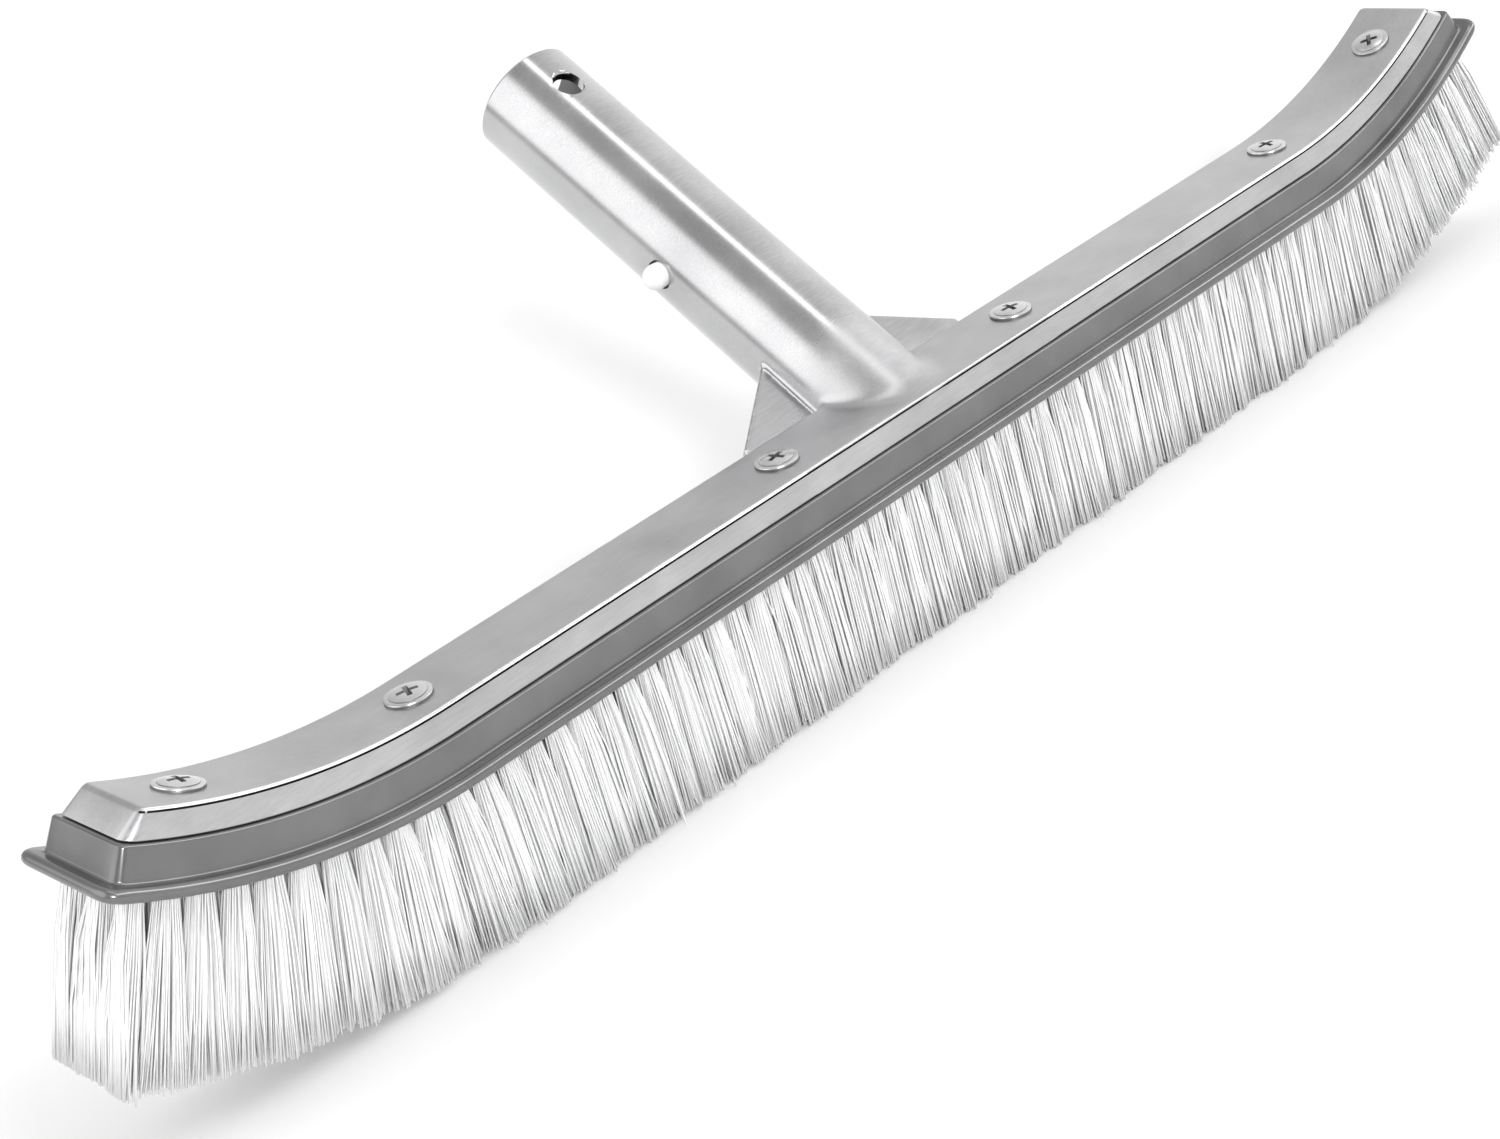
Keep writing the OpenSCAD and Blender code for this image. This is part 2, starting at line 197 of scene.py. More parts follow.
def join(name, objects, weld=0.0):
    """One object from several, with points closer than weld millimetres made one."""
    work = bmesh.new()
    for o in objects:
        work.from_mesh(o.data)
        bpy.data.objects.remove(o)
    if weld:
        bmesh.ops.remove_doubles(work, verts=work.verts, dist=weld * MM)
    mesh = bpy.data.meshes.new(name)
    work.to_mesh(mesh)
    work.free()
    obj = bpy.data.objects.new(name, mesh)
    bpy.context.scene.collection.objects.link(obj)
    return obj


def keep_side(obj, point, normal):
    """Cuts the mesh at a plane and keeps what lies behind it."""
    work = bmesh.new()
    work.from_mesh(obj.data)
    bmesh.ops.bisect_plane(
        work,
        geom=work.verts[:] + work.edges[:] + work.faces[:],
        plane_co=Vector(np.asarray(point, float) * MM),
        plane_no=Vector(normal),
        clear_outer=True,
    )
    work.to_mesh(obj.data)
    work.free()


def apply_modifiers(obj):
    bpy.context.view_layer.update()
    graph = bpy.context.evaluated_depsgraph_get()
    done = bpy.data.meshes.new_from_object(obj.evaluated_get(graph))
    obj.modifiers.clear()
    obj.data = done


def carve(obj, cutter):
    cut = obj.modifiers.new("cut", "BOOLEAN")
    cut.operation, cut.solver, cut.object = "DIFFERENCE", "EXACT", cutter
    cut.material_mode = "TRANSFER"
    apply_modifiers(obj)
    bpy.data.objects.remove(cutter)


def arc(centre, r, start, end, steps=8):
    """Points (across, up) round an arc."""
    a = np.radians(np.linspace(start, end, steps + 1))
    return [(centre[0] + r * math.cos(v), centre[1] + r * math.sin(v)) for v in a]


def lathe(name, profile, segments=64, smooth_angle=35):
    """A turned piece about its own z axis, from (radius, height) pairs from top to bottom."""
    profile = np.array(profile, float)
    turn = np.linspace(0, 2 * math.pi, segments, endpoint=False)
    ring = profile[:, None, 0] * np.stack([np.cos(turn), np.sin(turn)])[:, None]
    rows = np.broadcast_to(profile[:, None, 1], ring[0].shape)
    verts = np.stack([ring[0], ring[1], rows], -1).reshape(-1, 3)
    faces = []
    for i in range(len(profile) - 1):
        for j in range(segments):
            k = (j + 1) % segments
            a, b = i * segments, (i + 1) * segments
            faces.append((a + j, b + j, b + k, a + k))
    faces.append(tuple(range(segments)))
    faces.append(tuple(range(len(verts) - 1, len(verts) - 1 - segments, -1)))
    return new_object(name, verts, faces, smooth_angle)


def place(obj, origin, x_axis, z_axis):
    """Moves a piece from its own axes to a place in the frame."""
    x, z = np.asarray(x_axis, float), np.asarray(z_axis, float)
    turn = np.stack([x, np.cross(z, x), z], 1)
    co = np.empty(len(obj.data.vertices) * 3)
    obj.data.vertices.foreach_get("co", co)
    co = co.reshape(-1, 3) @ turn.T + np.asarray(origin, float) * MM
    obj.data.vertices.foreach_set("co", co.ravel())
    obj.data.update()
    return obj


# ---------------------------------------------------------------- long bodies

def perimeter(flat_s, core_w, start_s, step=2.5, corner_steps=14, end_steps=8):
    """Half of a long body's plan, from the rear side round the end to the front side:
    points of its skeleton and the directions in which its outline stands off them."""
    lanes = np.linspace(start_s, flat_s, int((flat_s - start_s) / step) + 1)[:-1]
    corner = np.linspace(math.pi / 2, 0, corner_steps + 1)
    across = np.linspace(core_w, -core_w, end_steps + 1)[1:-1]
    rear = [((s, core_w), (0, 1)) for s in lanes]
    rear += [((flat_s, core_w), (math.cos(a), math.sin(a))) for a in corner]
    front = [((s, -y), (dx, -dy)) for (s, y), (dx, dy) in reversed(rear)]
    middle = [((flat_s, y), (1, 0)) for y in across]
    skeleton, stand = zip(*(rear + middle + front))
    return np.array(skeleton), np.array(stand)


def half_body(name, levels, flat_s, core_w, start_s, groove=None, lean=(0, 0)):
    """One half of a long body that follows the bend, with a rounded end. levels are
    (half width, height, squareness of the corners) from the top face round to the
    underside. Levels in groove are on the front only. lean moves the end, at the top
    and at the skirt's foot."""
    skeleton, stand = perimeter(flat_s, core_w, start_s)
    count = len(skeleton)
    near_end = np.clip((skeleton[:, 0] - flat_s) / 12 + 1, 0, 1)
    in_front = (stand[:, 1] < -0.99) * np.clip((flat_s - 1 - skeleton[:, 0]) / 3, 0, 1)
    rows = []
    for i, (w, n, squareness) in enumerate(levels):
        reach = np.full(count, w - core_w)
        if groove and i in groove:
            reach += (groove[i] - w) * (1 - in_front)
        fuller = np.sum(np.abs(stand) ** squareness, 1) ** (-1 / squareness)
        plan = skeleton + stand * (reach * fuller)[:, None]
        plan[:, 0] += near_end * np.interp(-n, (0, SKIRT_H), lean)
        rows.append(on_spine(plan[:, 0], plan[:, 1], n, flat_s))
    verts = np.concatenate(rows)
    faces = []
    for i in range(len(levels) - 1):
        for j in range(count - 1):
            a, b = i * count, (i + 1) * count
            faces.append((a + j, a + j + 1, b + j + 1, b + j))
    last = (len(levels) - 1) * count
    for j in range(count // 2):
        k = count - 1 - j
        if k - j > 2:
            faces.append((j, k, k - 1, j + 1))
            faces.append((last + j, last + j + 1, last + k - 1, last + k))
        elif k - j == 2:
            faces.append((j, k, j + 1))
            faces.append((last + j, last + j + 1, last + k))
    return new_object(name, verts, faces)


def other_end(obj):
    """The mirror image of a half body, at -X."""
    mesh = obj.data.copy()
    mesh.transform(((-1, 0, 0, 0), (0, 1, 0, 0), (0, 0, 1, 0), (0, 0, 0, 1)))
    mesh.flip_normals()
    twin = bpy.data.objects.new(obj.name + "_twin", mesh)
    bpy.context.scene.collection.objects.link(twin)
    return twin


def back_levels():
    """The back's section: top face, crease, skirt, lower edge and the hollow inside.
    Also gives the half width that each level of the crease has where there is none."""
    levels = arc((TOP_HALF_W - EDGE_R, -EDGE_R), EDGE_R, 90, 15, 6)
    plain = {}
    groove = [(0.0, 0.0), (CREASE_DEPTH, 0.0), (CREASE_DEPTH, CREASE_H), (0.0, CREASE_H)]
    for depth, down in groove:
        n = -CREASE_TOP - down
        plain[len(levels)] = skirt_w(n)
        levels.append((skirt_w(n) - depth, n))
    levels += arc((skirt_w(-SKIRT_H + LIP_R) - LIP_R, -SKIRT_H + LIP_R), LIP_R, 15, -90, 5)
    hollow_foot_w = HOLLOW_HALF_W + SKIRT_SLOPE * (SKIRT_H - WALL)
    levels += [(hollow_foot_w, -SKIRT_H), (HOLLOW_HALF_W, -WALL)]
    return [(w, n, 2) for w, n in levels], plain


def skirt_w(n):
    """Half width of the back at height n, which is 0 at the top and negative below."""
    return TOP_HALF_W - SKIRT_SLOPE * n


def block_levels():
    """The block's section: shoulder, side, hollow foot and the round rim."""
    top, rim_top = -SKIRT_H - BLOCK_GAP, -BLOCK_DEPTH + RIM_T
    shoulder = arc((SHOULDER_HALF_W - SHOULDER_R, top - SHOULDER_R), SHOULDER_R, 90, 5, 8)
    cove = arc((FOOT_HALF_W + COVE_R, rim_top + COVE_R), COVE_R, 180, 270, 8)
    rim = arc((RIM_HALF_W - RIM_R, rim_top - RIM_R), RIM_R, 90, -90, 16)
    rounder, squarer = shoulder + cove[:6], cove[6:] + rim
    return [(w, n, 2) for w, n in rounder] + [(w, n, RIM_SQUARENESS) for w, n in squarer]


# ---------------------------------------------------------------- the cast socket

NEARLY_FLAT = 0.985                                      # of a cell's normals, added up


def rounded_cut(a, b, r):
    """Where both a and b are inside, with the edge between them rounded."""
    over_a, over_b = np.maximum(a + r, 0), np.maximum(b + r, 0)
    return np.minimum(np.maximum(a, b) + r, 0) + np.hypot(over_a, over_b) - r


def blended(a, b, k):
    """Where a or b is inside, with a fillet of about k between them."""
    near = np.maximum(k - np.abs(a - b), 0) / k
    return np.minimum(a, b) - near * near * k / 4


def taper_r(t):
    """The socket's outside radius, which grows a little towards its foot."""
    span = TAPER_END_T - FOOT_T
    return TUBE_R + TAPER_GROWTH * np.clip((TAPER_END_T - t) / span, 0, 1.3)


def back_field(p):
    """Distance outside the back's outer faces, along its straight stretch."""
    y, n = np.abs(p[..., 1]), p[..., 2] - BRUSH_H
    lean = math.atan(SKIRT_SLOPE)
    skirt = (y - TOP_HALF_W) * math.cos(lean) + n * math.sin(lean)
    shell = rounded_cut(n, skirt, EDGE_R)
    from_middle = np.abs(n + CREASE_TOP + CREASE_H / 2)
    crease = np.maximum(from_middle - CREASE_H / 2, -CREASE_DEPTH - skirt)
    shell = np.where(p[..., 1] < 0, np.maximum(shell, -crease), shell)
    return rounded_cut(shell, -SKIRT_H - n, LIP_R)


def hollow_field(p):
    """Distance outside the hollow under the back."""
    y, n = np.abs(p[..., 1]), p[..., 2] - BRUSH_H
    return np.maximum(y - HOLLOW_HALF_W + SKIRT_SLOPE * (n + WALL), n + WALL)


def beyond(x, t, point, normal):
    """Distance beyond the line through a point, in the plane of the webs."""
    return ((x - point[0]) * normal[0] + (t - point[1]) * normal[1]) / math.hypot(*normal)


def web_field(x, h, t):
    """Distance outside the two flat webs beside the socket."""
    x = np.abs(x)
    run_x, run_t = WEB_FOOT[0] - (TUBE_R - 1.0), WEB_FOOT[1] - WEB_TOP_T
    slant = beyond(x, t, WEB_FOOT, (-run_t, run_x))
    end = beyond(x, t, WEB_FOOT, (WEB_FOOT[1] - WEB_END_T, WEB_FLARE))
    plan = np.maximum(np.maximum(slant, end), WEB_END_T - t)
    return rounded_cut(plan, np.abs(h) - WEB_HALF_T, WEB_EDGE_R)


def root_field(p):
    """The casting where the socket, its webs and the back run into each other."""
    x, h, t = to_socket(p)
    radius = np.hypot(x, h)
    in_back = BRUSH_H - WALL / 2 - p[..., 2]
    tube = np.maximum(radius - taper_r(t), np.minimum(FOOT_T - t, in_back))
    body = blended(tube, web_field(x, h, t), WEB_FILLET)
    body = blended(back_field(p), body, ROOT_FILLET)
    over_block = np.maximum(p[..., 1] - CLEAR_Y, p[..., 2] - (BRUSH_H - SKIRT_H))
    body = np.maximum(body, -over_block)
    body = np.maximum(body, -hollow_field(p))
    bore = np.maximum(radius - BORE_R, BORE_BOTTOM_T - t)
    return np.maximum(body, -bore)


def tube_field(q):
    """The socket beyond its root, in (radius, turn, along) coordinates."""
    radius, turn, t = q[..., 0], q[..., 1], q[..., 2]
    x, h = radius * np.sin(turn), radius * np.cos(turn)
    wall = rounded_cut(radius - taper_r(t), BORE_R - radius, 0.05)
    chamfered = t - MOUTH_T + MOUTH_CHAMFER
    mouth = np.maximum(t - MOUTH_T, radius - TUBE_R + chamfered)
    mouth = np.maximum(mouth, BORE_R - radius + chamfered)
    body = rounded_cut(wall, mouth, 0.15)
    button = BUTTON_HOLE_R - np.hypot(h, t - BUTTON_T)
    body = rounded_cut(body, button, 0.25)
    from_axis = np.hypot(x, t - CROSS_T)
    drill = HOLE_R - from_axis
    sink = (np.abs(h) - TUBE_R + SINK + HOLE_R - from_axis) / math.sqrt(2)
    body = rounded_cut(body, drill, 0.15)
    return rounded_cut(body, sink, 0.1)


def slope_of(field, p, step=1e-3):
    """The gradient of a field, by central differences."""
    parts = []
    for axis in range(3):
        move = np.zeros(3)
        move[axis] = step
        parts.append(field(p + move) - field(p - move))
    return np.stack(parts, -1) / (2 * step)


def crossings(field, lines, value, axis, halvings=14):
    """Where the surface crosses the grid lines that run along one axis."""
    low = tuple(slice(0, -1) if a == axis else slice(None) for a in range(3))
    high = tuple(slice(1, None) if a == axis else slice(None) for a in range(3))
    change = (value[low] < 0) != (value[high] < 0)
    where = np.argwhere(change)
    a = np.stack([lines[k][where[:, k]] for k in range(3)], -1)
    b = a.copy()
    b[:, axis] = lines[axis][where[:, axis] + 1]
    inside_first = value[low][change] < 0
    for _ in range(halvings):
        middle = (a + b) / 2
        same = (field(middle) < 0) == inside_first
        a[same], b[~same] = middle[same], middle[~same]
    return where, (a + b) / 2, inside_first


def contour(name, field, lines, place_points):
    """Dual contouring: a mesh of field's zero surface with its edges kept sharp."""
    value = field(np.stack(np.meshgrid(*lines, indexing="ij"), -1))
    shape = np.array(value.shape) - 1
    total = int(np.prod(shape))
    square, rhs = np.zeros((total, 3, 3)), np.zeros((total, 3))
    mass, lean, count = np.zeros((total, 3)), np.zeros((total, 3)), np.zeros(total)
    quads = []
    for axis in range(3):
        u, v = (axis + 1) % 3, (axis + 2) % 3
        where, point, inside_first = crossings(field, lines, value, axis)
        normal = slope_of(field, point)
        normal /= np.linalg.norm(normal, axis=1, keepdims=True)
        around, fits = [], np.ones(len(where), bool)
        for du, dv in ((-1, -1), (0, -1), (0, 0), (-1, 0)):
            cell = where.copy()
            cell[:, u] += du
            cell[:, v] += dv
            good = np.all((cell >= 0) & (cell < shape), axis=1)
            fits &= good
            flat = np.ravel_multi_index(np.clip(cell, 0, shape - 1).T, shape)
            around.append(flat)
            at, n, p = flat[good], normal[good], point[good]
            np.add.at(square, at, n[:, :, None] * n[:, None, :])
            np.add.at(rhs, at, n * np.sum(n * p, 1, keepdims=True))
            np.add.at(mass, at, p)
            np.add.at(lean, at, n)
            np.add.at(count, at, 1)
        quad = np.stack(around, 1)
        quad[~inside_first] = quad[~inside_first][:, ::-1]
        quads.append(quad[fits])
    used = np.flatnonzero(count)
    centre = mass[used] / count[used, None]
    point = sharp_points(square[used], rhs[used], centre)
    point = keep_in_cells(point, used, shape, lines)
    smooth = np.linalg.norm(lean[used], axis=1) / count[used] > NEARLY_FLAT
    point[smooth] = on_surface(field, point[smooth])
    index = np.full(total, -1)
    index[used] = np.arange(len(used))
    faces = index[np.concatenate(quads)]
    return new_object(name, place_points(point), faces)


def sharp_points(square, rhs, centre, pull=0.03):
    """The point in each cell that lies nearest to all its tangent planes, held to the
    middle of the cell's crossings by a light pull."""
    system = square + pull * np.eye(3)
    offset = rhs - np.einsum("nij,nj->ni", square, centre)
    return centre + np.linalg.solve(system, offset[..., None])[..., 0]


def on_surface(field, point, steps=3):
    for _ in range(steps):
        n = slope_of(field, point)
        point = point - n * (field(point) / np.sum(n * n, 1))[:, None]
    return point


def keep_in_cells(point, used, shape, lines, slack=0.3):
    """Brings points back to their cells, give or take a share of the cell's size."""
    cell = np.stack(np.unravel_index(used, shape), -1)
    for a in range(3):
        low, high = lines[a][cell[:, a]], lines[a][cell[:, a] + 1]
        room = slack * (high - low)
        point[:, a] = np.clip(point[:, a], low - room, high + room)
    return point


def span(low, high, step):
    """Evenly spaced grid lines, about a step apart."""
    return np.linspace(low, high, int(round((high - low) / step)) + 1)


def spans(step, low, fine_low, fine_high, high):
    """Grid lines with a stretch in which they lie four times closer."""
    coarse_below, fine = span(low, fine_low, step), span(fine_low, fine_high, step / 4)
    return np.concatenate([coarse_below[:-1], fine[:-1], span(fine_high, high, step)])


def socket_root():
    """The root of the socket, cut off square to the brush and to the socket."""
    step, half_x, front_y = 0.62, ROOT_X + 1.03, -SKIRT_HALF_W - 1.17
    rear_y, low_z, high_z = 50.3, 36.4, 84.1
    crease_y, crease_z = -TOP_HALF_W - 0.5, BRUSH_H - CREASE_TOP - CREASE_H - 0.31
    lines = [
        span(-half_x, half_x, step),
        spans(step, front_y, crease_y, crease_y + 1.5, rear_y),
        spans(step, low_z, crease_z, crease_z + 1.4, high_z),
    ]
    root = contour("socket_root", root_field, lines, lambda p: p)
    for side in (-1, 1):
        keep_side(root, (side * ROOT_X, 0, BRUSH_H), (side, 0, 0))
    keep_side(root, ORIGIN + ROOT_T * AXIS, AXIS)
    return root


def socket_tube():
    """The rest of the socket, on a grid that goes round its axis."""
    around, wall_step, length_step = 128, 0.4, 0.66
    lines = [
        span(BORE_R - 0.91, TUBE_R + 0.93, wall_step),
        np.arange(around + 2) * 2 * math.pi / around,
        span(ROOT_T - 0.97, MOUTH_T + 0.75, length_step),
    ]

    def to_frame(q):
        return from_socket(q[:, 0] * np.sin(q[:, 1]), q[:, 0] * np.cos(q[:, 1]), q[:, 2])

    tube = contour("socket_tube", tube_field, lines, to_frame)
    keep_side(tube, ORIGIN + ROOT_T * AXIS, -AXIS)
    return tube


def casting():
    """The whole cast back, shown in place of its CAD solid."""
    levels, plain = back_levels()
    right = half_body("back_side", levels, BACK_FLAT, BACK_CORE, ROOT_X, plain, END_LEAN)
    left = other_end(right)
    cast = join("casting", [right, left, socket_tube(), socket_root()], weld=0.004)
    cast.data.set_sharp_from_angle(angle=math.radians(38))
    wear(cast, aluminium, bore_painted_shade, painted_crease_shade)
    centre = np.array([face.center for face in cast.data.polygons]) / MM
    x, h, t = to_socket(centre)
    # Faces inside the bore get rough metal whose colour is darkened as painted shade.
    in_bore = ((np.hypot(x, h) < BORE_R + 0.2) & (t > BORE_BOTTOM_T - 0.1)).astype(np.int32)
    # Faces inside the front crease get a near-black material, which is painted shade in the
    # groove.
    cast.data.polygons.foreach_set("material_index", in_bore + 2 * in_crease(centre))
    return cast


def in_crease(p):
    """Which points lie inside the groove along the back's front."""
    beyond = np.maximum(np.abs(p[:, 0]) - STRAIGHT, 0)
    n = BEND_R - np.hypot(beyond, p[:, 2] - BRUSH_H - BEND_R)
    sunk = skirt_w(n) + p[:, 1]
    low, slack = -CREASE_TOP - CREASE_H, 0.03
    return ((n > low - slack) & (n < slack - CREASE_TOP) & (sunk > 0.06)
            & (sunk < CREASE_DEPTH + slack)).astype(np.int32)


def block():
    """The plastic block, with its rim and ends as one skin."""
    right = half_body("block_side", block_levels(), BLOCK_FLAT, BLOCK_CORE, 0.0)
    left = other_end(right)
    piece = join("block", [right, left], weld=0.01)
    piece.data.set_sharp_from_angle(angle=math.radians(50))
    return piece


# ---------------------------------------------------------------- screws and buttons

def screw_mesh(name):
    """A pan head with a flat collar, a tapered cross recess and a threaded shank."""
    head = [(0.05, 1.45), (1.2, 1.42), (2.2, 1.34), (3.1, 1.2), (3.7, 1.06), (4.0, 0.96)]
    head += [(4.05, 0.82), (4.3, 0.78), (4.8, 0.76), (5.0, 0.68), (5.1, 0.5), (5.1, 0.03)]
    root, crest, turns, first, tip, point_h = 1.65, 2.08, 6, -1.5, -8.8, 1.4
    pitch = (first - tip - point_h) / turns
    shank = [(root, 0.03)]
    for i in range(turns):
        for r, part in ((root, 0), (crest, 0.42), (crest, 0.52)):
            shank.append((r, first - pitch * (i + part)))
    shank += [(root, first - pitch * turns), (0.05, tip)]
    piece = lathe(name, head + shank, 72)
    wear(piece, screw_steel, screw_painted_shade)
    # The head's steep faces and the cross recess carved below get dark steel, as a painted dark
    # outline and painted shade.
    for face in piece.data.polygons:
        if face.center.z > 0 and abs(face.normal.z) < 0.4:
            face.material_index = 1
    for turn in (0, 90):
        wing = cross_wing(turn)
        wear(wing, screw_painted_shade)
        carve(piece, wing)
    piece.data.set_sharp_from_angle(angle=math.radians(30))
    return piece


def cross_wing(turn):
    """One bar of a cross recess, narrower towards its bottom."""
    top, bottom = 1.7, 0.05
    half_top, half_low, wide_top, wide_low = 2.7, 1.0, 0.62, 0.36
    corners = []
    for half, wide, z in ((half_top, wide_top, top), (half_low, wide_low, bottom)):
        corners += [(-half, -wide, z), (half, -wide, z), (half, wide, z), (-half, wide, z)]
    a = math.radians(turn)
    verts = [(x * math.cos(a) - y * math.sin(a), x * math.sin(a) + y * math.cos(a), z)
             for x, y, z in corners]
    faces = [(0, 1, 2, 3), (7, 6, 5, 4)]
    faces += [(k, k + 4, (k + 1) % 4 + 4, (k + 1) % 4) for k in range(4)]
    return new_object("cross_wing", verts, faces)


def screws():
    """The six screws, each with its recess turned its own way."""
    pattern = screw_mesh("screw_pattern")
    made = []
    for i, s in enumerate(SCREW_S):
        piece = bpy.data.objects.new(f"pan_screw_{i + 1}", pattern.data.copy())
        bpy.context.scene.collection.objects.link(piece)
        up = on_spine(s, 0, 1) - on_spine(s, 0, 0)
        turn = rng.uniform(0, math.pi / 2)
        along = np.cross([0, 1, 0], up)
        x_axis = along * math.cos(turn) + np.array([0, 1, 0]) * math.sin(turn)
        made.append(place(piece, on_spine(s, 0, 0), x_axis, up))
    bpy.data.objects.remove(pattern)
    return made


def button(side):
    """A domed snap button with its collar and riveted stem."""
    inner, tip, r, dome_r = 9.9, TUBE_R + 4.2, 3.15, 2.9
    collar_r, collar_t, stem_r, rivet_r = 4.4, 0.8, 1.5, 2.4
    leaf_back, rivet_end, edge, middle = inner - 0.8, inner - 1.4, 0.1, 0.04
    dome = arc((r - dome_r, tip - dome_r), dome_r, 90, 0, 12)
    dome = [(max(x, middle), z) for x, z in dome]
    body = [(r, inner + collar_t), (collar_r, inner + collar_t - edge / 2)]
    body += [(collar_r, inner), (stem_r, inner)]
    rivet = [(stem_r, leaf_back), (rivet_r, leaf_back), (rivet_r, rivet_end + edge)]
    rivet += [(rivet_r - 2 * edge, rivet_end), (middle, rivet_end)]
    name = "snap_button_left" if side < 0 else "snap_button_right"
    piece = lathe(name, dome + body + rivet, 64, 40)
    return place(piece, ORIGIN + BUTTON_T * AXIS, RISE, side * ACROSS)


# ---------------------------------------------------------------- bristles

def tuft_places(row):
    """Where a row's tufts stand along the brush; every other row is set half way on."""
    shift = 0 if row % 2 else TUFT_PITCH / 2
    count = int((LAST_TUFT - shift) / TUFT_PITCH)
    first = -count if not shift else -count - 1
    return np.arange(first, count + 1) * TUFT_PITCH + shift


def tuft(s, y):
    """Centre lines of one tuft's filaments, in (s, y, n): packed in their hole, then
    fanned out, a few of them stray, with ragged tips."""
    k = np.arange(FILAMENTS)
    ring = np.sqrt((k + 0.5) / FILAMENTS)
    turn = k * math.pi * (3 - math.sqrt(5))
    disc = np.stack([ring * np.cos(turn), ring * np.sin(turn)], -1)
    disc += rng.normal(0, 0.05, disc.shape)
    base = disc * TUFT_R
    fan = rng.uniform(*FAN)
    tilt = rng.normal(0, 0.4, 2) + np.array([0, 0.9 * np.sign(y) * (abs(y) > 9)])
    is_stray = rng.random((FILAMENTS, 1)) < STRAY_SHARE
    stray = np.where(is_stray, rng.normal(0, STRAY_REACH, (FILAMENTS, 2)), 0)
    tip = disc * fan + tilt + rng.normal(0, 0.32, disc.shape) + stray
    if abs(s) > LAST_TUFT - 0.8 * TUFT_PITCH:
        tip[:, 0] += (LAST_TUFT - abs(s)) * 0.5 * np.sign(s)
    rise = np.linspace(0, 1, FILAMENT_RINGS)
    opening = 0.75 * rise ** rng.uniform(0.9, 1.2) + 0.25 * np.minimum(rise * 12, 1) ** 0.5
    bow = rng.normal(0, 0.22, (FILAMENTS, 1, 2)) * np.sin(math.pi * rise)[None, :, None]
    plan = base[:, None] + (tip - base)[:, None] * opening[None, :, None] + bow
    short = np.abs(rng.normal(0, RAGGED, FILAMENTS)) + rng.uniform(0, RAGGED)
    is_short = rng.random(FILAMENTS) < SHORT_SHARE
    short += np.where(is_short, rng.uniform(*SHORTEST, FILAMENTS), 0)
    top = -BLOCK_DEPTH + 0.4
    n = top + (-BRUSH_H + short - top)[:, None] * rise
    wall_s = LAST_TUFT + 2.3 - 2.6 * rise + rng.normal(0, 0.2, (FILAMENTS, 1))
    plan_s = np.clip(s + plan[..., 0], -wall_s, wall_s)
    return np.stack([plan_s, y + plan[..., 1], n], -1)


def filament_tubes(lines):
    """Thin square-section tubes round centre lines, with shut tips."""
    count, n, rings = len(lines), FILAMENT_SIDES, FILAMENT_RINGS
    centre = on_spine(lines[..., 0], lines[..., 1], lines[..., 2])
    turn = rng.uniform(0, 2 * math.pi, (count, 1)) + np.arange(n) * 2 * math.pi / n
    around = np.stack([np.cos(turn), np.sin(turn), 0 * turn], -1) * FILAMENT_R
    verts = centre[:, :, None] + around[:, None]
    first = np.arange(count) * rings * n
    ring = np.arange(rings - 1) * n
    k = np.arange(n)
    quad = np.stack([k, (k + 1) % n, (k + 1) % n + n, k + n], -1)[:, ::-1]
    sides = (first[:, None, None, None] + ring[:, None, None] + quad).reshape(-1, 4)
    tips = first[:, None] + (k + (rings - 1) * n)[::-1]
    return verts.reshape(-1, 3), np.concatenate([sides, tips])


def bristle_row(row):
    """All the filaments of one row, kept inside the CAD box."""
    y = (row - (ROWS + 1) / 2) * ROW_PITCH
    lines = np.concatenate([tuft(s, y) for s in tuft_places(row)])
    verts, faces = filament_tubes(lines)
    low, high = (np.array(corner) / MM for corner in cad_box)
    verts = np.clip(verts, low, high)
    return new_object(f"tufts_{row}", verts, faces)


# ---------------------------------------------------------------- materials

EVEN = (1.0, 1.0, 1.0)


class Tree:
    """The nodes of a material or a world, and short ways to add to them."""

    def __init__(self, owner, coordinates):
        owner.use_nodes = True
        self.nodes, self.links = owner.node_tree.nodes, owner.node_tree.links
        self.where = self.nodes.new("ShaderNodeTexCoord").outputs[coordinates]

    def along(self, axis):
        """The coordinate along one axis."""
        split = self.nodes.new("ShaderNodeSeparateXYZ")
        self.links.new(self.where, split.inputs["Vector"])
        return split.outputs[axis]

    def noise(self, scale, detail=3.0, stretch=EVEN):
        mapping = self.nodes.new("ShaderNodeMapping")
        mapping.inputs["Scale"].default_value = stretch
        self.links.new(self.where, mapping.inputs["Vector"])
        grain = self.nodes.new("ShaderNodeTexNoise")
        grain.inputs["Scale"].default_value = scale
        grain.inputs["Detail"].default_value = detail
        grain.inputs["Roughness"].default_value = 0.55
        self.links.new(mapping.outputs["Vector"], grain.inputs["Vector"])
        return grain.outputs["Fac"]

    def ramp(self, value, low, high, low_out=0.0, high_out=1.0):
        """value from low..high to low_out..high_out."""
        fit = self.nodes.new("ShaderNodeMapRange")
        fit.inputs["From Min"].default_value = low
        fit.inputs["From Max"].default_value = high
        fit.inputs["To Min"].default_value = low_out
        fit.inputs["To Max"].default_value = high_out
        self.links.new(value, fit.inputs["Value"])
        return fit.outputs["Result"]

    def maths(self, how, a, b):
        """Two values, plain numbers or sockets, put together."""
        out = self.nodes.new("ShaderNodeMath")
        out.operation = how
        for socket, value in zip(out.inputs, (a, b)):
            if isinstance(value, (int, float)):
                socket.default_value = value
            else:
                self.links.new(value, socket)
        return out.outputs["Value"]

    def between(self, share, a, b):
        """From a to b as share goes from 0 to 1."""
        mix = self.nodes.new("ShaderNodeMix")
        for socket, value in (("Factor", share), ("A", a), ("B", b)):
            self.links.new(value, mix.inputs[socket])
        return mix.outputs["Result"]


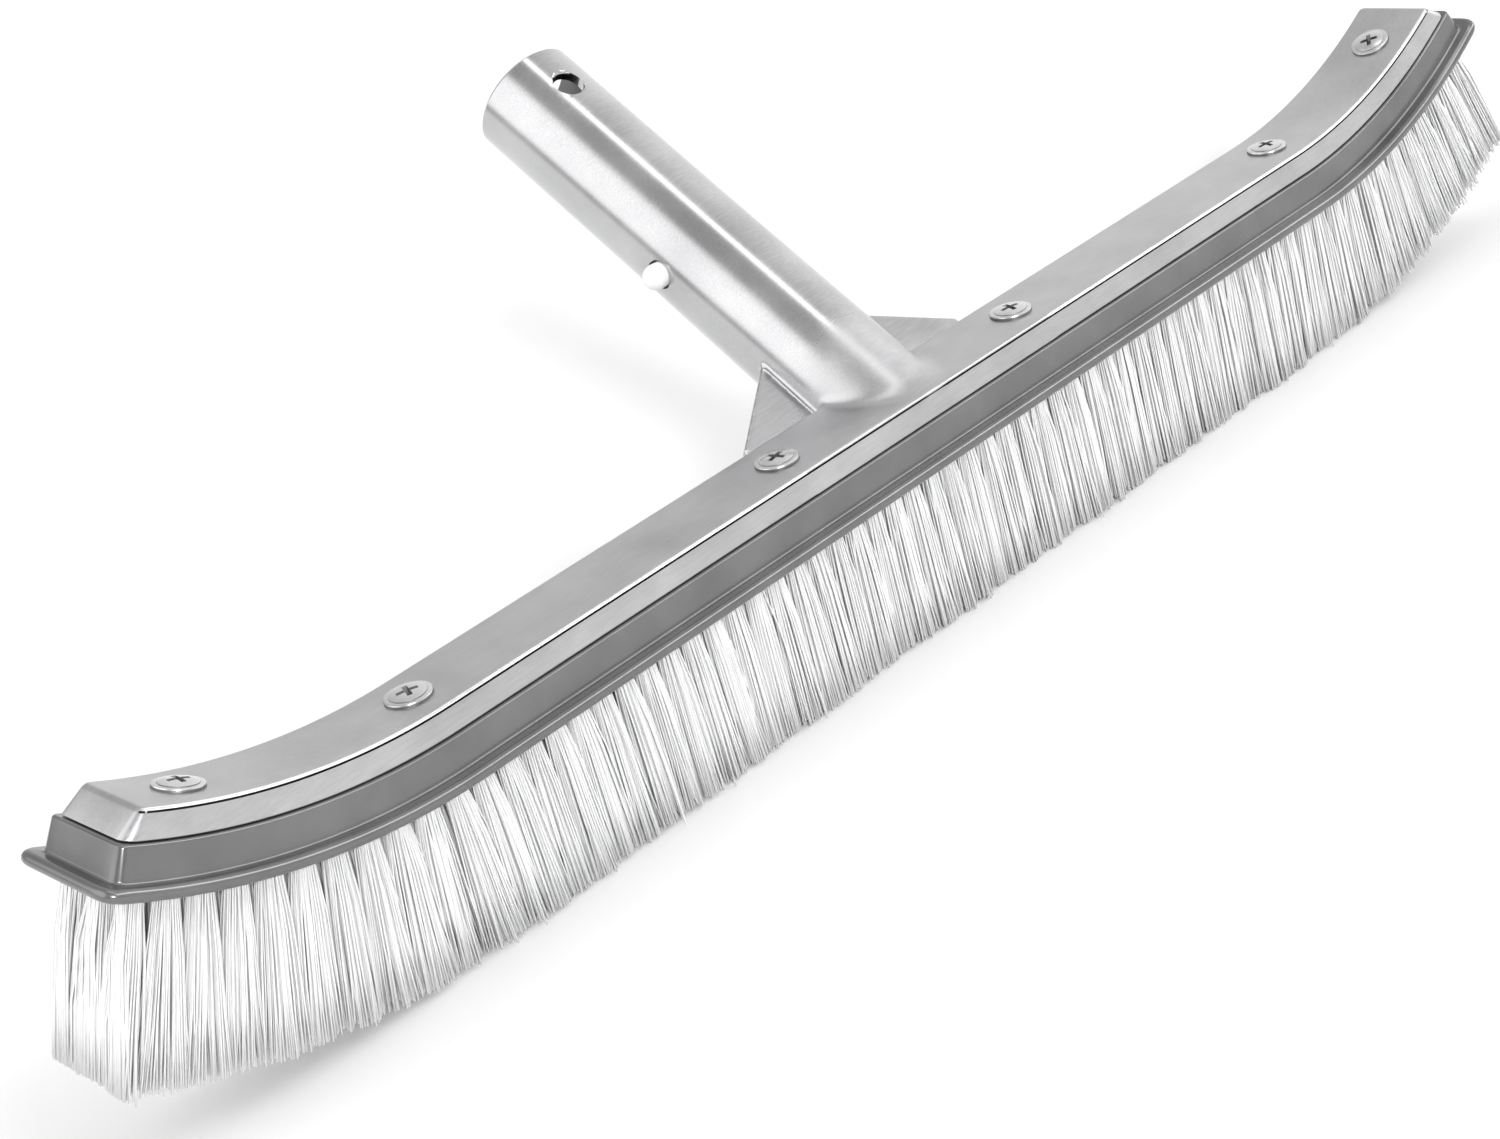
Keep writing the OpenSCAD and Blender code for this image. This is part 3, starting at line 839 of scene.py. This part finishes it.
class Look(Tree):
    """A principled material and what is needed to add detail to it."""

    def __init__(self, name, color, roughness, metallic=0.0, **sockets):
        self.mat = bpy.data.materials.new(name)
        super().__init__(self.mat, "Object")
        self.inputs = self.nodes["Principled BSDF"].inputs
        self.inputs["Base Color"].default_value = (*color, 1)
        self.inputs["Roughness"].default_value = roughness
        self.inputs["Metallic"].default_value = metallic
        for socket, value in sockets.items():
            self.inputs[socket.replace("_", " ")].default_value = value

    def tint(self, share, dark, light):
        """The colour goes from dark to light as share goes from 0 to 1."""
        mix = self.nodes.new("ShaderNodeMix")
        mix.data_type = "RGBA"
        mix.inputs["A"].default_value = (*dark, 1)
        mix.inputs["B"].default_value = (*light, 1)
        self.links.new(share, mix.inputs["Factor"])
        self.links.new(mix.outputs["Result"], self.inputs["Base Color"])

    def roughen(self, value):
        self.links.new(value, self.inputs["Roughness"])

    def bump(self, height, distance, strength):
        node = self.nodes.new("ShaderNodeBump")
        node.inputs["Distance"].default_value = distance
        node.inputs["Strength"].default_value = strength
        self.links.new(height, node.inputs["Height"])
        self.links.new(node.outputs["Normal"], self.inputs["Normal"])


def cast_aluminium():
    """Satin on the back, with fine brushing along it; smoother out along the socket."""
    look = Look("cast_aluminium", (0.5, 0.5, 0.507), 0.34, 1.0)
    brushed = look.noise(2600, stretch=(0.06, 1.0, 1.0))
    cloud = look.noise(55, detail=4.0)
    pitted = look.noise(1500, detail=2.0)
    polished = look.ramp(look.along("Y"), 0.011, 0.017)
    satin = look.maths("ADD", look.ramp(cloud, 0.3, 0.7, 0.31, 0.40),
                       look.ramp(brushed, 0.3, 0.7, -0.04, 0.04))
    sleek = look.ramp(cloud, 0.3, 0.7, 0.17, 0.23)
    look.roughen(look.between(polished, satin, sleek))
    mottled = look.maths("ADD", look.maths("MULTIPLY", cloud, 0.6),
                         look.maths("MULTIPLY", brushed, 0.4))
    look.tint(look.ramp(mottled, 0.35, 0.65), (0.44, 0.44, 0.447), (0.56, 0.56, 0.567))
    relief = look.maths("ADD", brushed, look.maths("MULTIPLY", pitted, 0.6))
    relief = look.maths("MULTIPLY", relief, look.maths("SUBTRACT", 1.0, polished))
    look.bump(relief, 0.00002, 0.6)
    return look.mat


def block_plastic():
    """Dark and glossy, with a metallic sheen."""
    look = Look("block_plastic", (0.17, 0.17, 0.175), 0.25, 0.7)
    fine = look.noise(1800)
    cloud = look.noise(70)
    look.roughen(look.ramp(cloud, 0.2, 0.8, 0.17, 0.24))
    look.tint(look.ramp(cloud, 0.3, 0.7), (0.15, 0.15, 0.153), (0.19, 0.19, 0.193))
    look.bump(fine, 0.00001, 0.3)
    return look.mat


def metal(name, color, roughness, stretch=EVEN):
    """Plain metal with a fine grain and cloudy wear."""
    look = Look(name, color, roughness, 1.0)
    fine = look.noise(2200, stretch=stretch)
    cloud = look.noise(240)
    look.roughen(look.ramp(cloud, 0.3, 0.7, roughness - 0.05, roughness + 0.06))
    look.tint(look.ramp(cloud, 0.3, 0.7), tuple(c * 0.88 for c in color), color)
    look.bump(fine, 0.000015, 0.6)
    return look.mat


def bristle_nylon():
    """White filament, a little unlike from one to the next."""
    look = Look("bristle_nylon", (0.91, 0.91, 0.91), 0.45, Transmission_Weight=0.22, IOR=1.4)
    streak = look.noise(900, detail=2.0, stretch=(1.0, 1.0, 0.03))
    look.tint(look.ramp(streak, 0.35, 0.65), (0.88, 0.88, 0.88), (0.94, 0.94, 0.94))
    look.roughen(look.ramp(streak, 0.35, 0.65, 0.4, 0.55))
    return look.mat


def button_plastic():
    """Glossy white, moulded."""
    look = Look("button_plastic", (0.9, 0.9, 0.89), 0.16, Coat_Weight=0.3)
    cloud = look.noise(400)
    look.roughen(look.ramp(cloud, 0.3, 0.7, 0.13, 0.22))
    look.tint(cloud, (0.76, 0.76, 0.75), (0.82, 0.82, 0.81))
    look.bump(cloud, 0.00002, 0.4)
    return look.mat


def wear(obj, *mats):
    obj.data.materials.clear()
    for mat in mats:
        obj.data.materials.append(mat)


# ---------------------------------------------------------------- stage

def floor():
    """A wide pale floor."""
    half = 6.0 / MM
    corners = [(-half, -half, 0), (half, -half, 0), (half, half, 0), (-half, half, 0)]
    piece = new_object("floor", corners, [(0, 1, 2, 3)])
    look = Look("floor_white", (0.74, 0.74, 0.74), 0.9, Specular_IOR_Level=0.1)
    look.tint(look.noise(40), (0.73, 0.73, 0.73), (0.75, 0.75, 0.75))
    wear(piece, look.mat)


def facing(sky, direction, dark_deg, bright_deg):
    """0 to 1 as the angle from a direction goes from dark_deg to bright_deg."""
    dot = sky.nodes.new("ShaderNodeVectorMath")
    dot.operation = "DOT_PRODUCT"
    dot.inputs[1].default_value = Vector(direction).normalized()
    sky.links.new(sky.where, dot.inputs[0])
    dark, bright = math.cos(math.radians(dark_deg)), math.cos(math.radians(bright_deg))
    return sky.ramp(dot.outputs["Value"], dark, bright)


def surroundings():
    """A white studio, brighter towards +X, with a large soft panel on the left and two
    narrow strips overhead, one along the socket and one along the brush."""
    world = bpy.data.worlds.new("room")
    bpy.context.scene.world = world
    sky = Tree(world, "Generated")
    room = sky.ramp(sky.along("X"), 0.1, 0.9, *ROOM_GLOW)
    above_floor = sky.ramp(sky.along("Z"), 0.1, 0.14, 0, PANEL_GLOW)
    panel = sky.maths("MULTIPLY", facing(sky, PANEL_FROM, *PANEL_SPREAD), above_floor)
    glow = sky.maths("ADD", room, panel)
    for middle, along, reach, half_width, strength in STRIPS:
        strip = facing(sky, middle, reach + 6, reach)
        side = Vector(middle).cross(Vector(along))
        for turn in (1, -1):
            edge = facing(sky, side * turn, 90 + half_width + 1, 90 + half_width - 1)
            strip = sky.maths("MULTIPLY", strip, edge)
        glow = sky.maths("ADD", glow, sky.maths("MULTIPLY", strip, strength))
    background = sky.nodes["Background"]
    background.inputs["Color"].default_value = (1, 1, 1, 1)
    sky.links.new(glow, background.inputs["Strength"])


def key_light():
    """A soft sun from the front left."""
    sun = bpy.data.lights.new("key", "SUN")
    sun.energy, sun.angle = KEY_ENERGY, math.radians(KEY_SPREAD)
    obj = bpy.data.objects.new("key", sun)
    bpy.context.scene.collection.objects.link(obj)
    obj.matrix_world = Vector(KEY_FROM).to_track_quat("Z", "Y").to_matrix().to_4x4()


def camera():
    """Looks down at the brush from the front left, tilted so that it runs up the view."""
    lens = bpy.data.cameras.new("camera")
    lens.sensor_width, lens.lens = SENSOR_MM, LENS_MM
    lens.clip_start = 0.02
    obj = bpy.data.objects.new("camera", lens)
    bpy.context.scene.collection.objects.link(obj)
    ahead = Vector(CAMERA_TARGET) - Vector(CAMERA_PLACE)
    roll = Quaternion((0, 0, 1), math.radians(CAMERA_ROLL))
    turn = ahead.to_track_quat("-Z", "Y") @ roll
    obj.matrix_world = Matrix.Translation(CAMERA_PLACE) @ turn.to_matrix().to_4x4()
    bpy.context.scene.camera = obj


# ---------------------------------------------------------------- the scene

def show(piece, body, slot, mat, *nodes):
    """piece rides on body and stands for those CAD nodes. mat is left out where it
    already wears its materials."""
    if mat:
        wear(piece, mat)
    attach(piece, body)
    if nodes:
        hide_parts(*nodes)


aluminium, plastic = cast_aluminium(), block_plastic()
nylon, snap = bristle_nylon(), button_plastic()
# The inside of the bore: rough metal, darkened as painted shade.
bore_painted_shade = metal("bore_painted_shade", (0.2, 0.2, 0.205), 0.5)
# Near-black for the faces inside the crease: painted shade in the groove.
painted_crease_shade = metal("painted_crease_shade", (0.03, 0.03, 0.03), 0.6)
screw_steel = metal("screw_steel", (0.72, 0.72, 0.72), 0.24)
# Dark steel for the screws' cross recesses and the steep sides of their heads, as painted shade.
screw_painted_shade = metal("screw_painted_shade", (0.2, 0.2, 0.2), 0.5)
spring_steel = metal("spring_steel", (0.66, 0.67, 0.69), 0.26, (1, 1, 0.05))
brass = metal("anchor_brass", (0.8, 0.62, 0.33), 0.3, (0.1, 1, 1))

show(casting(), "brush", "cast_aluminium", None, "back_casting")
show(block(), "brush", "block_plastic", plastic, "brush_block")
for i, piece in enumerate(screws()):
    show(piece, "brush", "screw_steel", None, f"screw_{i + 1}")
for row in range(1, ROWS + 1):
    show(bristle_row(row), "brush", "bristle_nylon", nylon, f"bristle_row_{row}")
    wear(frame["nodes"][f"tuft_anchors_{row}"], brass)
show(button(-1), "clip_left", "button_plastic", snap, "clip_button_left")
show(button(1), "clip_right", "button_plastic", snap, "clip_button_right")
for name in ("clip_bight", "clip_leaf_left", "clip_leaf_right"):
    wear(frame["nodes"][name], spring_steel)

floor()
surroundings()
key_light()
camera()
bpy.context.scene.view_settings.view_transform = "Standard"
